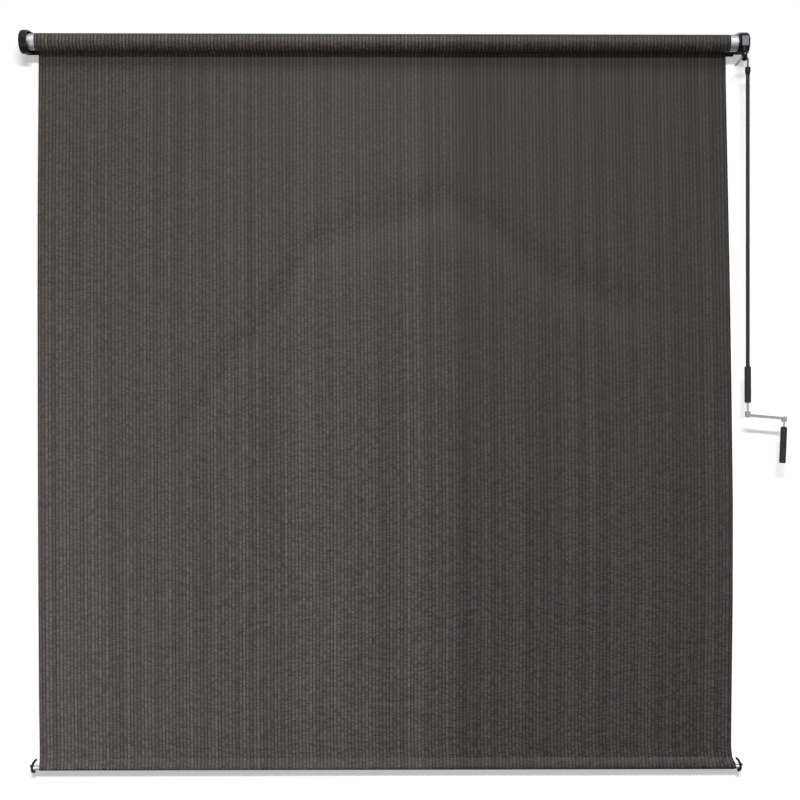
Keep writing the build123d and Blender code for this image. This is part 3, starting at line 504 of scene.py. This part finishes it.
# Grip PVC: a dull black, slightly porous to the eye, with hardly a highlight.
grip_pvc, tree, shader = begin("black_grip_pvc", IOR=1.52, Specular_IOR_Level=0.25)
place = add(tree, "TexCoord").outputs["Object"]
pore_mm = 1.0
pore = add(tree, "TexNoise", inputs={"Vector": place, "Scale": 1000 / pore_mm, "Detail": 3.0})
tone = add(tree, "Mix", {"data_type": "RGBA"}, {
    mix_share: pore.outputs["Fac"], mix_first: linear("#111112"), mix_second: linear("#19191a")})
tree.links.new(tone.outputs[mix_result], shader.inputs["Base Color"])
gloss = add(tree, "MapRange", inputs={"Value": pore.outputs["Fac"], "To Min": 0.5, "To Max": 0.68})
tree.links.new(gloss.outputs["Result"], shader.inputs["Roughness"])
bump = add(tree, "Bump", inputs={"Height": pore.outputs["Fac"], "Strength": 0.25, "Distance": 0.0002})
tree.links.new(bump.outputs["Normal"], shader.inputs["Normal"])
dress(grip_pvc, "upper_grip", "lower_grip")

# Studio wall and floor: a white wall that the brackets are screwed to, and a white floor below. Both show to
# the camera from their front only and are clear to all other rays, so that the shade can be seen from behind.
room_half = 9
wall_y, wall_top, floor_z = 0.001, 6, -2.6


def stage_plane(name, corners, glow):
    """A flat white part of the studio that takes shadows and glows a little by itself."""
    bm = bmesh.new()
    bm.faces.new([bm.verts.new(c) for c in corners])
    mesh = bpy.data.meshes.new(name)
    bm.to_mesh(mesh)
    bm.free()
    plane = bpy.data.objects.new(name, mesh)
    bpy.context.collection.objects.link(plane)
    material, tree, shader = begin(name + "_paint", Base_Color=linear("#ffffff"), Roughness=0.9,
                                   Emission_Color=linear("#ffffff"), Emission_Strength=glow)
    seen = add(tree, "LightPath").outputs["Is Camera Ray"]
    back = add(tree, "NewGeometry").outputs["Backfacing"]
    front = add(tree, "Math", {"operation": "SUBTRACT", "use_clamp": True}, {0: seen, 1: back})
    clear = add(tree, "BsdfTransparent")
    mix = add(tree, "MixShader", inputs={0: front.outputs[0], 1: clear.outputs[0], 2: shader.outputs[0]})
    tree.links.new(mix.outputs[0], tree.nodes["Material Output"].inputs["Surface"])
    mesh.materials.append(material)


wall_foot = [(-room_half, wall_y, floor_z), (room_half, wall_y, floor_z)]
wall_head = [(room_half, wall_y, wall_top), (-room_half, wall_y, wall_top)]
floor_front = [(-room_half, -room_half, floor_z), (room_half, -room_half, floor_z)]
stage_plane("wall", wall_foot + wall_head, glow=0.41)
stage_plane("floor", floor_front + wall_foot[::-1], glow=0.3)

# Lamps: a key from above and in front that throws the shadows on the wall, a large one overhead, a fill at
# each side and a lamp behind the wall's plane. The overhead lamp and the fills light the shade only.
shade_only = bpy.data.collections.new("shade only")
for piece in bpy.context.scene.objects:
    if piece.type == "MESH" and piece.name not in ("wall", "floor"):
        shade_only.objects.link(piece)


def lamp(name, place, target, size, power, lit=None):
    """A rectangular lamp aimed at a point, which lights everything or the pieces of one collection."""
    data = bpy.data.lights.new(name, "AREA")
    data.shape = "RECTANGLE"
    data.size, data.size_y = size
    data.energy = power
    light = bpy.data.objects.new(name, data)
    light.location = place
    light.rotation_euler = (Vector(target) - Vector(place)).to_track_quat("-Z", "Y").to_euler()
    light.light_linking.receiver_collection = lit
    bpy.context.collection.objects.link(light)


lamp("key", (0.2, -4.26, 1.4), target=(0.2, -4.4, -2.6), size=(2.0, 0.9), power=440)
lamp("overhead", (0, -4.8, 5.6), target=(0, 0, -1.4), size=(3.6, 2.4), power=500, lit=shade_only)
lamp("left fill", (-2.6, -2.4, -2.0), target=(0, 0, -1.2), size=(2.5, 2.5), power=74, lit=shade_only)
lamp("right fill", (3.2, -2.8, -0.6), target=(0.4, 0, -1.2), size=(2.0, 2.0), power=40, lit=shade_only)
lamp("behind", (0.5, 3.5, 1.0), target=(0, 0, -0.9), size=(2.5, 2.5), power=45)

# World: white where the camera sees it, a weak even light on the shade, and in reflections white above and
# behind the shade and dim in front of it, as in a room whose lamps hang over the wall.
ambient_level = 0.12
bright_side = (0.0, 0.8, 0.6)

# A mix of two numbers has them on these sockets.
number_first, number_second = 2, 3
world = bpy.data.worlds.new("studio")
world.use_nodes = True
tree = world.node_tree
path = add(tree, "LightPath")
toward = add(tree, "VectorMath", {"operation": "DOT_PRODUCT"}, {
    0: add(tree, "TexCoord").outputs["Object"], 1: bright_side})
mirrored = add(tree, "MapRange", inputs={
    "Value": toward.outputs["Value"], "From Min": -0.8, "From Max": 0.8,
    "To Min": ambient_level, "To Max": 1.0})
ambient = add(tree, "Mix", inputs={
    mix_share: path.outputs["Is Glossy Ray"], number_first: ambient_level,
    number_second: mirrored.outputs["Result"]})
seen = add(tree, "Math", {"operation": "MAXIMUM"}, {
    0: path.outputs["Is Camera Ray"], 1: path.outputs["Is Transmission Ray"]})
level = add(tree, "Mix", inputs={
    mix_share: seen.outputs[0], number_first: ambient.outputs[0], number_second: 1.0})
tree.links.new(level.outputs[0], tree.nodes["Background"].inputs["Strength"])
tree.nodes["Background"].inputs["Color"].default_value = linear("#ffffff")
bpy.context.scene.world = world

# Camera: level with the middle of the shade and square to the wall but for half a degree, at the distance
# that gives the photo's perspective. The lens is worked out from its length in the photo's pixels.
photo_pixels, lens_pixels = 800, 1301.3
camera_x, camera_z, camera_distance, camera_turn = 0.0143, -0.9362, 3.411, -0.5
view = bpy.data.cameras.new("camera")
view.sensor_width = 36
view.lens = view.sensor_width * lens_pixels / photo_pixels
camera = bpy.data.objects.new("camera", view)
camera.location = (camera_x, axis_y - camera_distance, camera_z)
camera.rotation_euler = (math.radians(90), 0, math.radians(camera_turn))
bpy.context.collection.objects.link(camera)
bpy.context.scene.camera = camera
bpy.context.scene.view_settings.view_transform = "Standard"
